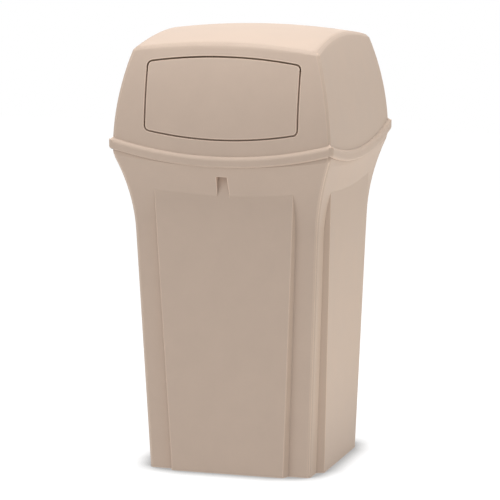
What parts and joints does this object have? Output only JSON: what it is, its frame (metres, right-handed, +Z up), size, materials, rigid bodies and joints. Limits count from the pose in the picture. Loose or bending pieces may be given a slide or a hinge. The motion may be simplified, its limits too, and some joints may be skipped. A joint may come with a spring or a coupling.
{
  "type": "trash can",
  "caption": "Square beige trash can with a tapered, flared base, a domed lift-off hood and spring-loaded push doors in the front and back of the hood.",
  "frame": {"origin": "on the floor under the centre of the can", "axes": "+Z up; the pictured door faces -Y; +X is to the right of someone facing it"},
  "size_m": [0.543, 0.543, 1.0419],
  "materials": {
    "body": "matte, faint moulded grain",
    "plated_steel": "zinc plated",
    "spring_steel": "drawn wire and sheet",
    "bumper_rubber": "matte"
  },
  "bodies": {
    "base": {"base_container": "body"},
    "hood": {"hood": "body", "front_hinge_rod": "plated_steel", "front_left_rod_clip": "spring_steel", "front_left_door_spring": "spring_steel", "front_right_rod_clip": "spring_steel", "front_right_door_spring": "spring_steel", "rear_hinge_rod": "plated_steel", "rear_left_rod_clip": "spring_steel", "rear_left_door_spring": "spring_steel", "rear_right_rod_clip": "spring_steel", "rear_right_door_spring": "spring_steel"},
    "front_door": {"front_door": "body", "front_left_door_bumper": "bumper_rubber", "front_right_door_bumper": "bumper_rubber"},
    "rear_door": {"rear_door": "body", "rear_left_door_bumper": "bumper_rubber", "rear_right_door_bumper": "bumper_rubber"}
  },
  "joints": [
    {"name": "hood_lift", "type": "slide", "parent": "base", "child": "hood", "axis": [0, 0, 1], "range_m": [0, 0.15]},
    {"name": "front_door_swing", "type": "hinge", "parent": "hood", "child": "front_door", "pos_m": [0, -0.21771, 0.965], "axis": [1, 0, 0], "range_deg": [0, 70], "stiffness_Nm_per_rad": 0.25, "springref_deg": -45.84, "deforming": ["front_left_door_spring", "front_right_door_spring"]},
    {"name": "rear_door_swing", "type": "hinge", "parent": "hood", "child": "rear_door", "pos_m": [0, 0.21771, 0.965], "axis": [-1, 0, 0], "range_deg": [0, 70], "stiffness_Nm_per_rad": 0.25, "springref_deg": -45.84, "deforming": ["rear_left_door_spring", "rear_right_door_spring"]}
  ]
}
